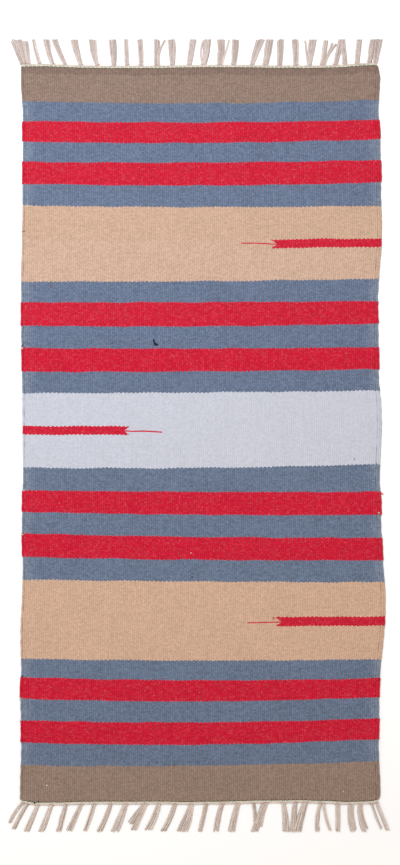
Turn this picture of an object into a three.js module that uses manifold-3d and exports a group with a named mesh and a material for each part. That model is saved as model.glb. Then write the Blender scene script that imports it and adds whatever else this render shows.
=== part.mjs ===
// A flat-woven kilim rug with knotted warp fringes, lying flat on its underside.
// Millimetres, +Z up, warp and ribs along Y. The origin is under the middle of the whole rug, fringes included.

import * as THREE from 'three';
import Module from 'manifold-3d';

const wasm = await Module();
wasm.setup();

// Cloth: one rib stands over each warp cord, and the selvedges are rounded
const RIBS = 172;
const CLOTH_THICKNESS = 4;
const VALLEY_HEIGHT = 3.2;
const SELVEDGE_HEIGHT = 2;
const SELVEDGE_INSET = 1;
const RED_STANDS_PROUD = 1.8;
const STEP_LENGTH = 3;

// Lines near a selvedge follow its waver band by band; the inner ones follow it in longer steps
const WAVER_LINES = 4;
const LONG_STEPS = 5;
const UNDERSIDE_STEP = 12;

// Fringe: a cord along each end of the cloth, and the warp ends knotted and cut off in bundles of locks
const GAP = 0.3;
const HEADER_WIDTH = 3.6;
const HEADER_HEIGHT = 3;
const HEADER_STEPS = 24;
const HEADER_END_INSET = 1;
const FRINGE_REACH = 770;
const LOCK_SPACING_AT_TIP = 4.5;
const LOCK_WIDTH_AT_TIP = 3.3;
const LOCK_HEIGHT_AT_TIP = 2.2;
const LOCK_SPACING_AT_ROOT = 2.7;
const LOCK_WIDTH_AT_ROOT = 2.2;
const LOCK_HEIGHT_AT_ROOT = 2.7;
const LOCK_TOP_SHARE = 0.55;
const LOCK_STEPS = 3;
const LOCK_SWAY = 0.9;
const KNOT_LENGTH = 4;
const KNOT_MARGIN = 1.2;
const KNOT_TOP_SHARE = 0.8;
const KNOT_RINGS = [
  { place: 0, swell: 0, height: 2.9 },
  { place: 0.45, swell: 1, height: 3.6 },
  { place: 1, swell: 0, height: 3 },
];
const ROOT_DEPTH = 0.5;

const GOLDEN_ANGLE = Math.PI * (3 - Math.sqrt(5));

// The cloth's sections from the +Y end to the -Y end. left, middle and right are the heights (Y) at which the
// section starts at the two selvedges and between them; reachLeft and reachRight are how far the selvedges stand out.
const SECTIONS = [
  { yarn: 'taupe', left: 717.5, middle: 715, right: 717.5, reachLeft: 347, reachRight: 350 },
  { yarn: 'blue', left: 649.5, middle: 645, right: 652, reachLeft: 343.5, reachRight: 348 },
  { yarn: 'red', left: 610.5, middle: 607.5, right: 612.5, reachLeft: 344, reachRight: 349.5 },
  { yarn: 'blue', left: 571, middle: 568.5, right: 576, reachLeft: 343.5, reachRight: 351 },
  { yarn: 'red', left: 531.5, middle: 530, right: 535, reachLeft: 343.5, reachRight: 352 },
  { yarn: 'blue', left: 488.5, middle: 485, right: 491, reachLeft: 344, reachRight: 351.5 },
  { yarn: 'beige', left: 446.5, middle: 443.5, right: 446, reachLeft: 345, reachRight: 354 },
  { yarn: 'beige', left: 397, middle: 395.5, right: 398.5, reachLeft: 346, reachRight: 353 },
  { yarn: 'beige', left: 348, middle: 347, right: 351, reachLeft: 347, reachRight: 349.5 },
  { yarn: 'blue', left: 298.5, middle: 299, right: 304, reachLeft: 347, reachRight: 346.5 },
  { yarn: 'red', left: 258.5, middle: 259, right: 261, reachLeft: 346, reachRight: 345 },
  { yarn: 'blue', left: 213.5, middle: 212, right: 217.5, reachLeft: 347, reachRight: 347 },
  { yarn: 'red', left: 169.5, middle: 168.5, right: 171, reachLeft: 345, reachRight: 347 },
  { yarn: 'blue', left: 123.5, middle: 124, right: 128.5, reachLeft: 345, reachRight: 348 },
  { yarn: 'pale', left: 81.5, middle: 83, right: 86.5, reachLeft: 344.5, reachRight: 352.5 },
  { yarn: 'pale', left: 33.5, middle: 34, right: 39, reachLeft: 344.5, reachRight: 353.5 },
  { yarn: 'pale', left: -14.5, middle: -14.5, right: -8.5, reachLeft: 344, reachRight: 351.5 },
  { yarn: 'blue', left: -63, middle: -63.5, right: -56, reachLeft: 343, reachRight: 349.5 },
  { yarn: 'red', left: -106.5, middle: -109.5, right: -109.5, reachLeft: 344, reachRight: 351.5 },
  { yarn: 'blue', left: -148.5, middle: -154.5, right: -154.5, reachLeft: 345.5, reachRight: 352.5 },
  { yarn: 'red', left: -190, middle: -197, right: -198.5, reachLeft: 344.5, reachRight: 354 },
  { yarn: 'blue', left: -236, middle: -242, right: -242.5, reachLeft: 343.5, reachRight: 357 },
  { yarn: 'beige', left: -280.5, middle: -284, right: -285.5, reachLeft: 345, reachRight: 361 },
  { yarn: 'beige', left: -331.5, middle: -335, right: -335, reachLeft: 347.5, reachRight: 360.5 },
  { yarn: 'beige', left: -382.5, middle: -386, right: -385, reachLeft: 348.5, reachRight: 355.5 },
  { yarn: 'blue', left: -433.5, middle: -437, right: -434.5, reachLeft: 346.5, reachRight: 350.5 },
  { yarn: 'red', left: -469.5, middle: -476, right: -471.5, reachLeft: 348.5, reachRight: 348.5 },
  { yarn: 'blue', left: -511.5, middle: -517, right: -508.5, reachLeft: 348, reachRight: 348.5 },
  { yarn: 'red', left: -553, middle: -557, right: -549, reachLeft: 346, reachRight: 347.5 },
  { yarn: 'blue', left: -596.5, middle: -601, right: -589.5, reachLeft: 347, reachRight: 347 },
  { yarn: 'taupe', left: -640.5, middle: -641, right: -632.5, reachLeft: 349, reachRight: 350.5 },
];
const CLOTH_END = { left: -713.5, middle: -712.5, right: -710 };

// The bundles of each fringe from left to right: where its knot sits on the header, where its cut end lies,
// how wide it is there, and how far short of the cut line it stops, as it does where it lies at a slant
const TOP_BUNDLES = [
  { root: -340, tip: -358.5, spread: 19.5 },
  { root: -332, tip: -336.5, spread: 9 },
  { root: -310.5, tip: -323, spread: 6.5 },
  { root: -285, tip: -298.5, spread: 12.5 },
  { root: -261, tip: -281.5, spread: 10.5 },
  { root: -231, tip: -243.5, spread: 13.5 },
  { root: -199, tip: -208, spread: 16 },
  { root: -166.5, tip: -170, spread: 14.5 },
  { root: -141.5, tip: -143.5, spread: 6 },
  { root: -110.5, tip: -116, spread: 12.5 },
  { root: -84, tip: -84, spread: 10.5 },
  { root: -78, tip: -70, spread: 3, short: 6 },
  { root: -52, tip: -55, spread: 13.5 },
  { root: -20, tip: -13.5, spread: 11.5 },
  { root: 8.5, tip: 14, spread: 15 },
  { root: 38.5, tip: 40.5, spread: 14.5 },
  { root: 46, tip: 57, spread: 3, short: 2 },
  { root: 67.5, tip: 70.5, spread: 12 },
  { root: 100.5, tip: 116.5, spread: 17.5 },
  { root: 128, tip: 136.5, spread: 12.5 },
  { root: 154, tip: 156.5, spread: 13 },
  { root: 185, tip: 185, spread: 11.5 },
  { root: 212.5, tip: 219.5, spread: 12.5 },
  { root: 238.5, tip: 246, spread: 9.5 },
  { root: 245, tip: 262, spread: 3, short: 10 },
  { root: 262.5, tip: 271, spread: 7 },
  { root: 281, tip: 280, spread: 6.5 },
  { root: 305.5, tip: 310.5, spread: 8.5 },
  { root: 327, tip: 334, spread: 8 },
  { root: 340, tip: 347.5, spread: 15.5 },
];
const BOTTOM_BUNDLES = [
  { root: -342.5, tip: -364.5, spread: 9, short: 10 },
  { root: -334.5, tip: -354.5, spread: 6, short: 11 },
  { root: -313.5, tip: -336.5, spread: 10.5 },
  { root: -287, tip: -307.5, spread: 13.5 },
  { root: -260, tip: -273.5, spread: 11.5 },
  { root: -229.5, tip: -252, spread: 11.5 },
  { root: -203.5, tip: -220, spread: 7 },
  { root: -172.5, tip: -192.5, spread: 10.5 },
  { root: -141.5, tip: -162, spread: 13.5 },
  { root: -106.5, tip: -132.5, spread: 13.5 },
  { root: -79, tip: -100, spread: 14, short: 5 },
  { root: -46, tip: -71, spread: 13 },
  { root: -16, tip: -34.5, spread: 18.5 },
  { root: 12, tip: -0.5, spread: 7 },
  { root: 43.5, tip: 31.5, spread: 8 },
  { root: 74.5, tip: 63.5, spread: 10.5 },
  { root: 105.5, tip: 102.5, spread: 8 },
  { root: 128, tip: 118.5, spread: 8 },
  { root: 163, tip: 165.5, spread: 11 },
  { root: 186, tip: 179, spread: 10 },
  { root: 206, tip: 191.5, spread: 9 },
  { root: 235.5, tip: 230.5, spread: 9 },
  { root: 243.5, tip: 252.5, spread: 3.3 },
  { root: 269, tip: 269, spread: 8 },
  { root: 293, tip: 298.5, spread: 9 },
  { root: 311, tip: 321, spread: 8.5 },
  { root: 332, tip: 350, spread: 3.3, short: 8 },
  { root: 342.5, tip: 364.5, spread: 9, short: 6 },
];

const lerp = THREE.MathUtils.lerp;

// The height at share u of the width, on a bow through the left, middle and right heights of a row
function bow(row, u) {
  const side = 2 * u - 1;
  const tilt = (row.right - row.left) / 2;
  const sag = (row.left + row.right) / 2 - row.middle;
  return row.middle + tilt * side + sag * side * side;
}

// The cloth's stations, two for each section, with the selvedges' reach at each: it runs evenly from the middle
// of one section to the next, and the red weft turns a little further out than the rest
function clothStations() {
  const stations = [];
  SECTIONS.forEach((section, k) => {
    const next = SECTIONS[k + 1];
    const end = next ?? CLOTH_END;
    const proud = section.yarn === 'red' ? RED_STANDS_PROUD : 0;
    const before = SECTIONS[k - 1] ?? section;
    const after = next ?? section;
    const startShift = k === 0 ? 0 : STEP_LENGTH / 2;
    const endShift = next ? STEP_LENGTH / 2 : 0;
    stations.push({
      heightAt: (u) => bow(section, u) - startShift,
      left: (section.reachLeft + before.reachLeft) / 2 + proud,
      right: (section.reachRight + before.reachRight) / 2 + proud,
    });
    stations.push({
      heightAt: (u) => bow(end, u) + endShift,
      left: (section.reachLeft + after.reachLeft) / 2 + proud,
      right: (section.reachRight + after.reachRight) / 2 + proud,
    });
  });
  return stations;
}

// The first and last station of the long step that station s lies in
function longStepAround(stations, s) {
  const last = stations.length - 1;
  const step = Math.min(Math.floor((s * LONG_STEPS) / last), LONG_STEPS - 1);
  return [Math.round((step * last) / LONG_STEPS), Math.round(((step + 1) * last) / LONG_STEPS)];
}

// The reach at station s, taken straight from one end of its long step to the other
function longStepReach(stations, s, side) {
  const [from, to] = longStepAround(stations, s);
  return lerp(stations[from][side], stations[to][side], (s - from) / (to - from));
}

// A surface made of chains of shared points. A chain is a list of { index, along } in rising order of along.
function newSurface() {
  return { points: [], triangles: [] };
}

function addPoint(surface, x, y, z, along) {
  surface.points.push(x, y, z);
  return { index: surface.points.length / 3 - 1, along };
}

// Fills the strip between two chains, seen with chain b on the left of chain a
function stitch(surface, a, b) {
  let i = 0;
  let j = 0;
  while (i < a.length - 1 || j < b.length - 1) {
    const stepOnA = j === b.length - 1 || (i < a.length - 1 && a[i + 1].along <= b[j + 1].along);
    if (stepOnA) {
      surface.triangles.push(a[i].index, a[i + 1].index, b[j].index);
      i += 1;
    } else {
      surface.triangles.push(a[i].index, b[j + 1].index, b[j].index);
      j += 1;
    }
  }
}

function surfaceGeometry(surface) {
  const geometry = new THREE.BufferGeometry();
  geometry.setAttribute('position', new THREE.Float32BufferAttribute(surface.points, 3));
  geometry.setIndex(surface.triangles);
  geometry.computeVertexNormals();
  return geometry;
}

// The woven cloth: lines along the warp over each rib and valley, the rounded selvedges and a flat underside
function clothGeometry() {
  const surface = newSurface();
  const stations = clothStations();
  const lastStation = stations.length - 1;
  const lineCount = 2 * RIBS;

  // A line along the warp at share u of the width, its points from the -Y end to the +Y end
  function warpLine(u, height, inset, nearestEdge) {
    const fine = nearestEdge <= WAVER_LINES;
    const waver = Math.max(0, 1 - nearestEdge / WAVER_LINES);
    const chain = [];
    for (let s = lastStation; s >= 0; s -= 1) {
      if (!fine && !longStepAround(stations, s).includes(s)) continue;
      const station = stations[s];
      const left = lerp(longStepReach(stations, s, 'left'), station.left, waver);
      const right = lerp(longStepReach(stations, s, 'right'), station.right, waver);
      const x = lerp(-left, right, u) + inset;
      const y = station.heightAt(u);
      chain.push(addPoint(surface, x, y, height, y));
    }
    return chain;
  }

  // The top runs from the widest line of one selvedge over each rib and valley to that of the other
  const top = [warpLine(0, SELVEDGE_HEIGHT, 0, 0)];
  for (let i = 1; i < lineCount; i += 1) {
    const height = i % 2 === 1 ? CLOTH_THICKNESS : VALLEY_HEIGHT;
    top.push(warpLine(i / lineCount, height, 0, Math.min(i, lineCount - i)));
  }
  top.push(warpLine(1, SELVEDGE_HEIGHT, 0, 0));

  // The flat underside needs fewer lines, and reaches to the foot of each selvedge
  const under = [warpLine(0, 0, SELVEDGE_INSET, 0)];
  for (let i = UNDERSIDE_STEP; i < lineCount; i += UNDERSIDE_STEP) {
    under.push(warpLine(i / lineCount, 0, 0, i));
  }
  under.push(warpLine(1, 0, -SELVEDGE_INSET, 0));

  for (let i = 0; i < top.length - 1; i += 1) {
    stitch(surface, top[i + 1], top[i]);
  }
  for (let i = 0; i < under.length - 1; i += 1) {
    stitch(surface, under[i], under[i + 1]);
  }
  stitch(surface, top[0], under[0]);
  stitch(surface, under[under.length - 1], top[top.length - 1]);

  // The walls at the two ends, between the ends of the lines
  const endChain = (lines, end) =>
    lines.map((line) => {
      const { index } = line[end === 'near' ? 0 : line.length - 1];
      return { index, along: surface.points[3 * index] };
    });
  stitch(surface, endChain(top, 'far'), endChain(under, 'far'));
  stitch(surface, endChain(under, 'near'), endChain(top, 'near'));
  return surfaceGeometry(surface);
}

// A closed body through rings of points, each ring counter-clockwise for someone looking the way they run
function ringBody(rings) {
  const sides = rings[0].length;
  const positions = rings.flat(2);
  const triangles = [];
  for (let r = 0; r < rings.length - 1; r += 1) {
    for (let k = 0; k < sides; k += 1) {
      const a = r * sides + k;
      const b = r * sides + ((k + 1) % sides);
      triangles.push(a, b + sides, b, a, a + sides, b + sides);
    }
  }
  const lastRing = (rings.length - 1) * sides;
  for (let k = 1; k < sides - 1; k += 1) {
    triangles.push(0, k, k + 1, lastRing, lastRing + k + 1, lastRing + k);
  }
  return new wasm.Manifold(
    new wasm.Mesh({
      numProp: 3,
      vertProperties: new Float32Array(positions),
      triVerts: new Uint32Array(triangles),
    })
  );
}

function manifoldGeometry(solid) {
  const { vertProperties, triVerts } = solid.getMesh();
  const geometry = new THREE.BufferGeometry();
  geometry.setAttribute('position', new THREE.BufferAttribute(new Float32Array(vertProperties), 3));
  geometry.setIndex(new THREE.BufferAttribute(new Uint32Array(triVerts), 1));
  geometry.computeVertexNormals();
  return geometry;
}

// A four-sided section standing on z = 0, across the direction of travel
function flatSection(centre, direction, width, height, topShare) {
  const across = new THREE.Vector2(direction.y, -direction.x).normalize();
  const at = (share, z) => [centre.x + across.x * width * share, centre.y + across.y * width * share, z];
  return [at(-0.5, 0), at(0.5, 0), at(topShare / 2, height), at(-topShare / 2, height)];
}

// The cord that runs along an end of the cloth, a little way off it
function headerSolid(end) {
  const { edge, outward, reach } = end;
  const rings = [];
  for (let k = 0; k <= HEADER_STEPS; k += 1) {
    const u = k / HEADER_STEPS;
    const x = lerp(-reach.left + HEADER_END_INSET, reach.right - HEADER_END_INSET, u);
    const y = bow(edge, u) + outward * (GAP + HEADER_WIDTH / 2);
    rings.push(flatSection(new THREE.Vector2(x, y), new THREE.Vector2(1, 0), HEADER_WIDTH, HEADER_HEIGHT, 1));
  }
  return ringBody(rings);
}

// A point at x, so far out from the header's outer side
function pointBeyondHeader(end, x, distance) {
  const { edge, outward, reach } = end;
  const u = (x + reach.left) / (reach.left + reach.right);
  return new THREE.Vector2(x, bow(edge, u) + outward * (GAP + HEADER_WIDTH + distance));
}

// The lump where the warp ends of a bundle are tied, sunk a little into the header
function knotSolid(end, bundle, lockCount) {
  const direction = new THREE.Vector2(0, end.outward);
  const rings = KNOT_RINGS.map(({ place, swell, height }) => {
    const centre = pointBeyondHeader(end, bundle.root, lerp(-ROOT_DEPTH, KNOT_LENGTH, place));
    const width = lockCount * LOCK_SPACING_AT_ROOT + KNOT_MARGIN + swell;
    return flatSection(centre, direction, width, height, KNOT_TOP_SHARE);
  });
  return ringBody(rings);
}

// The locks of a bundle: they leave the knot side by side, sway a little together and fan out to the cut end.
// Each of their sections lies square to the cut line, so that they end flush on it.
function lockSolids(end, bundle, bundleNumber, lockCount) {
  const direction = new THREE.Vector2(0, end.outward);
  const tipHeight = end.outward * (FRINGE_REACH - (bundle.short ?? 0));
  const locks = [];
  for (let k = 0; k < lockCount; k += 1) {
    const share = lockCount === 1 ? 0 : k / (lockCount - 1) - 0.5;
    const rootX = bundle.root + share * (lockCount - 1) * LOCK_SPACING_AT_ROOT;
    const root = pointBeyondHeader(end, rootX, KNOT_LENGTH - ROOT_DEPTH);
    const tip = new THREE.Vector2(bundle.tip + share * (bundle.spread - LOCK_WIDTH_AT_TIP), tipHeight);
    const rings = [];
    for (let step = 0; step <= LOCK_STEPS; step += 1) {
      const t = step / LOCK_STEPS;
      const sway = LOCK_SWAY * Math.sin(Math.PI * t) * Math.cos(bundleNumber * GOLDEN_ANGLE);
      const centre = root.clone().lerp(tip, t);
      centre.x += sway;
      const width = lerp(LOCK_WIDTH_AT_ROOT, LOCK_WIDTH_AT_TIP, t);
      const height = lerp(LOCK_HEIGHT_AT_ROOT, LOCK_HEIGHT_AT_TIP, t);
      rings.push(flatSection(centre, direction, width, height, LOCK_TOP_SHARE));
    }
    locks.push(ringBody(rings));
  }
  return locks;
}

function fringeGeometry(end, bundles) {
  let solid = headerSolid(end);
  bundles.forEach((bundle, number) => {
    const lockCount = Math.max(1, Math.round(bundle.spread / LOCK_SPACING_AT_TIP));
    solid = solid.add(knotSolid(end, bundle, lockCount));
    for (const lock of lockSolids(end, bundle, number, lockCount)) {
      solid = solid.add(lock);
    }
  });
  return manifoldGeometry(solid);
}

function yarnMesh(name, geometry, colour) {
  const material = new THREE.MeshStandardMaterial({ color: colour, roughness: 0.95, metalness: 0 });
  const mesh = new THREE.Mesh(geometry, material);
  mesh.name = name;
  return mesh;
}

const lastSection = SECTIONS[SECTIONS.length - 1];
const topEnd = {
  edge: SECTIONS[0],
  outward: 1,
  reach: { left: SECTIONS[0].reachLeft, right: SECTIONS[0].reachRight },
};
const bottomEnd = {
  edge: CLOTH_END,
  outward: -1,
  reach: { left: lastSection.reachLeft, right: lastSection.reachRight },
};

const rug = new THREE.Group();
rug.add(yarnMesh('kilim_body', clothGeometry(), 0x6c7991));
rug.add(yarnMesh('fringe_top', fringeGeometry(topEnd, TOP_BUNDLES), 0xd2beaf));
rug.add(yarnMesh('fringe_bottom', fringeGeometry(bottomEnd, BOTTOM_BUNDLES), 0xd2beaf));

export default rug;
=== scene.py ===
"""The looks of a kilim rug that lies flat on a pale floor, seen from straight above.

Sizes are in millimetres, in the row's frame, and MM turns them into Blender's metres. The cloth is drawn in
weave coordinates: rib counts the warp cords from the left selvedge, and pick the weft rows from the top,
which is the +Y end.
"""

import math
import random
from collections import namedtuple

import bpy
import numpy as np
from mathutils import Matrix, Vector


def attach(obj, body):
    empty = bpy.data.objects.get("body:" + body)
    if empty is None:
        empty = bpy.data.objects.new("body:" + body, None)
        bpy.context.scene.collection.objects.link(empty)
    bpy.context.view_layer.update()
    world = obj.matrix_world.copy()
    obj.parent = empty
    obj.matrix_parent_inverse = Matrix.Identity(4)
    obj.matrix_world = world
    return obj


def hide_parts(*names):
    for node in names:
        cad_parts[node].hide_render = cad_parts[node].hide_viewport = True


MM = 0.001
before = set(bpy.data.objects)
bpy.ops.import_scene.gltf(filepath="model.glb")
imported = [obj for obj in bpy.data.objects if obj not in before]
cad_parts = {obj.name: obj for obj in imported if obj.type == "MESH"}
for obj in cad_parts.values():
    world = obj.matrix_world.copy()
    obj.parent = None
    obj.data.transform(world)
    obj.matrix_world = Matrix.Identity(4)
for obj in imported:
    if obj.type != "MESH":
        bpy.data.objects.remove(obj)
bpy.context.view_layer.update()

# The photograph: its size in pixels, the size of a pixel on the rug and the pixel over the origin
PHOTO_WIDTH = 400
PHOTO_HEIGHT = 865
PIXEL = 1.944
ORIGIN_PIXEL = (199.75, 435.25)

# Which way is out at each side and end of the rug
OUTWARD = {"left": -1, "right": 1, "top": 1, "bottom": -1}

# The weave, with a rib's profile on each face as the place across the rib and the share of the relief
RIBS = 172
PICK = 1.2
CLOTH_THICKNESS = 4.0
RIB_RELIEF = 0.5
RIB_TOP = ((0.0, 0.0), (0.25, 0.72), (0.5, 1.0), (0.75, 0.72))
RIB_UNDERSIDE = ((0.0, 0.0), (0.5, 1.0))

# Red bands stand proud at the selvedges, after a step, and so many ribs move with them
RED_STANDS_PROUD = 1.8
STEP_LENGTH = 3.0
PROUD_RIBS = 6.0

# Rows of the mesh: how far apart they are at most, how many picks from an end the next one lies, and where
# more rows follow the corners
ROW_SPACING = 26.0
NEXT_TO_END = 0.6
END_ROWS = {"top": (4.5, 9.0, 15.0, 22.0), "bottom": (4.5, 8.0, 12.0)}

# Alternate ribs start and end so many picks apart, over a few picks, and the end rows lie lower
END_STAGGER = 1.6
STAGGERED_PICKS = 3
END_DROP = 0.5

# Slow unevenness: its size, how long its waves are in two directions, and its seed
Waver = namedtuple("Waver", "size across along seed")
WEFT_WAVER = Waver(0.7, 90, 30, 1)
SELVEDGE_WAVER = Waver(0.45, 26, 1, 2)
RIB_WAVER = Waver(0.12, 1 / 0.37, 40, 3)
RELIEF_WAVER = Waver(0.1, 130, 130, 4)
CORD_WAVER = Waver(0.25, 22, 1, 8)
CORD_LIFT_WAVER = Waver(0.15, 30, 1, 9)

# Sections of the cloth from the top: yarn, the height (Y) of the start at the left selvedge, in the middle
# and at the right selvedge, and how far the two stand out from the middle line. A darker heading comes first
Section = namedtuple("Section", "yarn left middle right left_reach right_reach")
SECTIONS = [Section(*row) for row in (
    ("taupe", 717.5, 715, 717.5, 347.3, 350.5),
    ("blue", 649.5, 645, 652, 343.7, 346.3),
    ("red", 610.5, 607.5, 612.5, 344, 349.5),
    ("blue", 571, 568.5, 576, 343.5, 351),
    ("red", 531.5, 530, 535, 343.5, 352),
    ("blue", 488.5, 485, 491, 344, 351.5),
    ("beige", 446.5, 443.5, 446, 345, 354),
    ("cool beige", 381, 379.5, 382.5, 346, 353),
    ("cool beige", 340, 339, 343, 347, 349.5),
    ("blue", 298.5, 299, 304, 347, 346.5),
    ("red", 258.5, 259, 261, 346, 345),
    ("blue", 213.5, 212, 217.5, 347, 347),
    ("deep red", 169.5, 168.5, 171, 345, 347),
    ("blue", 123.5, 124, 128.5, 345, 348),
    ("pale", 81.5, 83, 86.5, 344.5, 352.5),
    ("pale", 33.5, 34, 39, 344.5, 353.5),
    ("pale", -14.5, -14.5, -8.5, 344, 351.5),
    ("lower blue", -63, -63.5, -56, 343, 349.5),
    ("deep red", -106.5, -109.5, -109.5, 344, 351.5),
    ("lower blue", -148.5, -154.5, -154.5, 345.5, 352.5),
    ("deep red", -190, -197, -198.5, 344.5, 354),
    ("lower blue", -236, -242, -242.5, 343.5, 357),
    ("warm beige", -280.5, -284, -285.5, 345, 361),
    ("warm beige", -331.5, -335, -335, 347.5, 360.5),
    ("warm beige", -382.5, -386, -385, 348.5, 355.5),
    ("lower blue", -433.5, -437, -434.5, 346.5, 350.5),
    ("deep red", -469.5, -476, -471.5, 348.5, 348.5),
    ("lower blue", -511.5, -517, -508.5, 348, 348.5),
    ("deep red", -553, -557, -549, 346, 347.5),
    ("lower blue", -596.5, -601, -589.5, 347, 347),
    ("grey taupe", -640.5, -641, -632.5, 349, 350.5),
)]
CLOTH_END = (-713.5, -712.5, -710)
HEADING_LENGTH = 15.5

# How far the woven ends stray from their bows, as X and the shift in height
END_DIPS = {"top": (
    (-350, -0.7), (-302, 0.5), (-273, -0.2), (-243, -1.2), (-200, -1.6), (-156, -1.6), (-98, -1.2),
    (-69, -0.8), (-35, 0.1), (19, 0.6), (77, 0.3), (106, -0.1), (136, -1), (194, -1.4),
    (223, -1.9), (252, -1.5), (281, -0.8), (311, 1.5), (350, 2.4),
), "bottom": (
    (-350, 4.8), (-335, 1.9), (-320, -0.4), (-302, -0.1), (-273, -0.3), (-243, 1), (-214, 1.5),
    (-185, 1.7), (-156, 1.2), (-98, 1.3), (-69, 1.4), (-39, 0.3), (-10, 0.2), (19, 0.6), (48, 0.6),
    (77, 1.3), (106, 2.2), (136, 2.4), (165, 1.9), (194, 2.9), (223, 1), (252, 0.5), (281, -1.7),
    (311, -1.2), (336, -0.9), (350, 2),
)}

# How far the right corners are drawn in, and over what length
CORNER_DRAW = {"top": (6.3, 30.0), "bottom": (4.0, 11.0)}

# Arrow motifs woven in red from one selvedge: the shaft's height on the rug's middle line and its thickness,
# the X of its forked end, of the notch in it and of the end of its thin line, and the line's picks and rise
Arrow = namedtuple("Arrow", "side height thickness fork notch line_end line_picks rise")
ARROWS = [
    Arrow("right", 371.3, 16.8, 138, 151.5, 79, 1.9, 1),
    Arrow("left", 9.9, 17.4, -136, -147, -74, 2.3, -3),
    Arrow("right", -361.9, 18, 146, 159.5, 93.5, 1.9, -2.4),
]

# Weft ends tucked in at a selvedge: the side, how far in from it, height (Y), colour and length
TAILS = [
    ("left", 2.5, -107, "cream", 4), ("left", 0.5, -193, "cream", 4.5),
    ("left", 1.5, -511.5, "cream", 3.5), ("left", 0.5, -553.5, "cream", 3.5),
    ("left", 9, 446, "cream", 5), ("left", 1.5, 168.5, "cream", 4),
    ("left", 1.5, 174.5, "dark", 3.5), ("left", 3, -468, "dark", 4),
    ("left", 3.5, 396, "brown", 8.5), ("right", -1.5, -113.5, "red", 4.5),
    ("right", 6.5, -150.5, "cream", 4),
]

# Neps and caught bits of yarn on the face: their pixel in the photograph, colour and length
NEPS = [
    (47, 785, "white", 2.6), (64.5, 782.5, "brown", 3), (112, 343, "dark", 1.8),
    (354, 459, "brown", 2.4), (376, 463, "brown", 2.4), (192, 577, "dark", 1.8),
    (300, 669, "dark", 1.8), (339, 518, "dark", 2), (86, 520, "dark", 1.8),
    (34.6, 802.6, "dark", 4), (38.8, 801, "dark", 3.2), (273.2, 617.5, "red", 2.6),
    (273.9, 618.5, "red", 2.2), (51, 287, "red", 1.6), (191, 553, "cream", 2),
    (343, 791.3, "cream", 1.6),
]

# The dark nub of yarn: its pixels in the photograph with their heights (Z), and its radius along them
DARK_THREAD = (
    (153.8, 339.4, 3.2), (153.8, 340.9, 4.4), (154.4, 342.6, 4.8),
    (155, 344.3, 4.8), (156.6, 344.6, 4.6), (157.9, 344.9, 3.6),
)
DARK_THREAD_RADII = ((0, 1.6), (0.8, 2.1), (1.6, 1.5), (2.6, 2.5), (3.6, 2.9), (5, 1.3))

# The outer warp cords: the radius between the beads of weft and in them, and how far these bulge outward
SELVEDGE_RADII = (1.755, 1.9305)
BEAD_BULGE = 0.45

# The header: a cream cord twined along the end, which narrows between its grains, and a pinkish one, the
# binder, outside it
CORD_RADIUS = {"top": 1.6, "bottom": 1.35}
CORD_PLACE = {"top": 0.4, "bottom": 1.0}
CORD_NARROWING = 0.34
BINDER_RADIUS = 1.5
BINDER_PLACE = 3.3
HEADER_LIFT = {"top": 0.7, "bottom": 1.1}

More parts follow.
